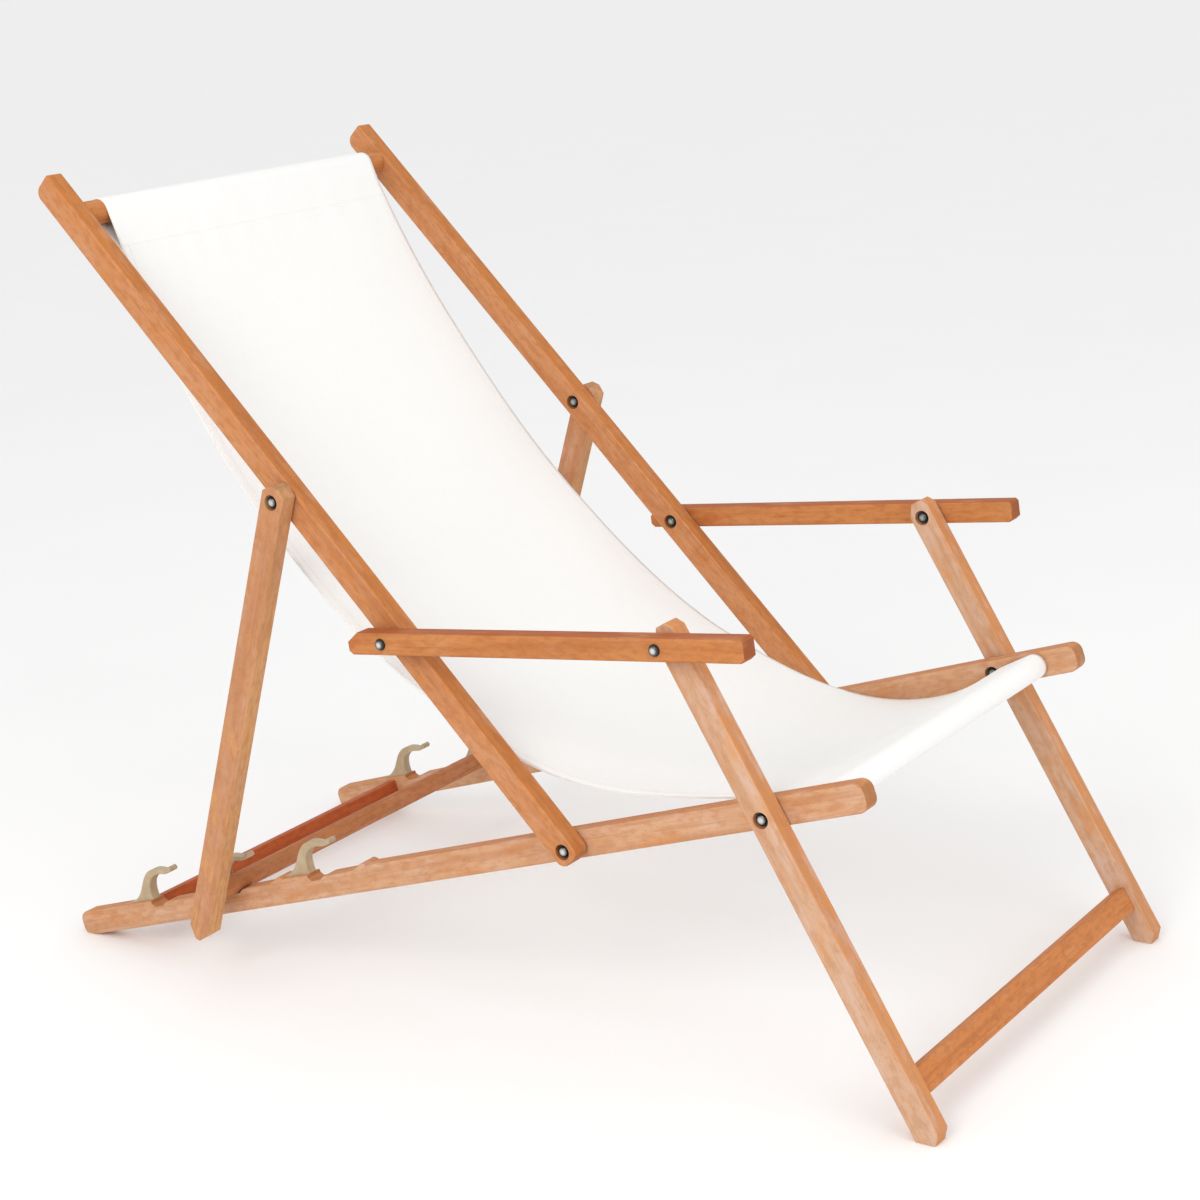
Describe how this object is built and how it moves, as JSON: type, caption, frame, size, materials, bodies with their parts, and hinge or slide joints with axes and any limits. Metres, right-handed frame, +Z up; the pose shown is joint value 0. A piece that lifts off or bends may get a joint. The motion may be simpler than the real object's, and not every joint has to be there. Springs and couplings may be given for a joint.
{
  "type": "deck chair",
  "caption": "Folding wooden deck chair with armrests, a hung fabric sling, bolted pivots and a prop frame whose crossbar rests in notched, hooked seat rails.",
  "frame": {"origin": "On the floor, under the middle of the chair's bounding box.", "axes": "+X points forward, the way a sitter faces; +Y to the sitter's left; +Z up."},
  "size_m": [1.1711, 0.6074, 0.9177],
  "materials": {
    "beech": "oiled, satin",
    "beech_red": "reddish brown, satin",
    "canvas": "plain white woven canvas",
    "steel": "bright zinc",
    "hook_plastic": "beige, moulded",
    "washer_plastic": "dark nylon"
  },
  "bodies": {
    "seat_frame": {"seat_rail_right": "beech", "seat_rail_left": "beech", "seat_front_bar": "beech", "seat_rear_bar": "beech_red", "hook_front_right": "hook_plastic", "hook_front_left": "hook_plastic", "hook_middle_right": "hook_plastic", "hook_middle_left": "hook_plastic", "hook_rear_right": "hook_plastic", "hook_rear_left": "hook_plastic", "back_pivot_bolt_right": "steel", "back_pivot_bolt_left": "steel", "back_pivot_nut_right": "steel", "back_pivot_nut_left": "steel", "back_pivot_washer_right": "washer_plastic", "back_pivot_washer_left": "washer_plastic", "leg_pivot_bolt_right": "steel", "leg_pivot_bolt_left": "steel", "leg_pivot_nut_right": "steel", "leg_pivot_nut_left": "steel", "leg_pivot_washer_right": "washer_plastic", "leg_pivot_washer_left": "washer_plastic"},
    "back_frame": {"back_rail_right": "beech", "back_rail_left": "beech", "top_rod": "beech", "sling": "canvas", "arm_pivot_bolt_right": "steel", "arm_pivot_bolt_left": "steel", "arm_pivot_nut_right": "steel", "arm_pivot_nut_left": "steel", "arm_pivot_washer_right": "washer_plastic", "arm_pivot_washer_left": "washer_plastic", "prop_pivot_bolt_right": "steel", "prop_pivot_bolt_left": "steel", "prop_pivot_nut_right": "steel", "prop_pivot_nut_left": "steel", "prop_pivot_washer_right": "washer_plastic", "prop_pivot_washer_left": "washer_plastic"},
    "leg_frame": {"leg_right": "beech", "leg_left": "beech", "leg_stretcher": "beech", "arm_leg_cap_right": "steel", "arm_leg_cap_left": "steel"},
    "arm_right": {"arm_right": "beech", "arm_leg_bolt_right": "steel", "arm_leg_washer_right": "washer_plastic"},
    "arm_left": {"arm_left": "beech", "arm_leg_bolt_left": "steel", "arm_leg_washer_left": "washer_plastic"},
    "prop_frame": {"prop_leg_right": "beech", "prop_leg_left": "beech", "prop_crossbar": "beech"}
  },
  "joints": [
    {"name": "fold", "type": "hinge", "parent": "seat_frame", "child": "back_frame", "pos_m": [0.1687, 0, 0.232], "axis": [0, -1, 0], "range_deg": [0, 63], "deforming": ["sling"]},
    {"name": "leg_fold", "type": "hinge", "parent": "seat_frame", "child": "leg_frame", "pos_m": [0.40745, 0, 0.30272], "axis": [0, -1, 0], "range_deg": [0, 76.96]},
    {"name": "arm_right_fold", "type": "hinge", "parent": "back_frame", "child": "arm_right", "pos_m": [-0.02607, 0, 0.43869], "axis": [0, -1, 0], "range_deg": [-51.13, 0]},
    {"name": "arm_left_fold", "type": "hinge", "parent": "back_frame", "child": "arm_left", "pos_m": [-0.02607, 0, 0.43869], "axis": [0, -1, 0], "range_deg": [-51.13, 0]},
    {"name": "prop_fold", "type": "hinge", "parent": "back_frame", "child": "prop_frame", "pos_m": [-0.15843, 0, 0.57915], "axis": [0, -1, 0], "range_deg": [-122.32, 0]}
  ],
  "couplings": [
    {"joint": "leg_fold", "follows": "fold", "ratio": 1.22},
    {"joint": "arm_right_fold", "follows": "fold", "ratio": -0.81},
    {"joint": "arm_left_fold", "follows": "fold", "ratio": -0.81},
    {"joint": "prop_fold", "follows": "fold", "ratio": -1.94}
  ]
}
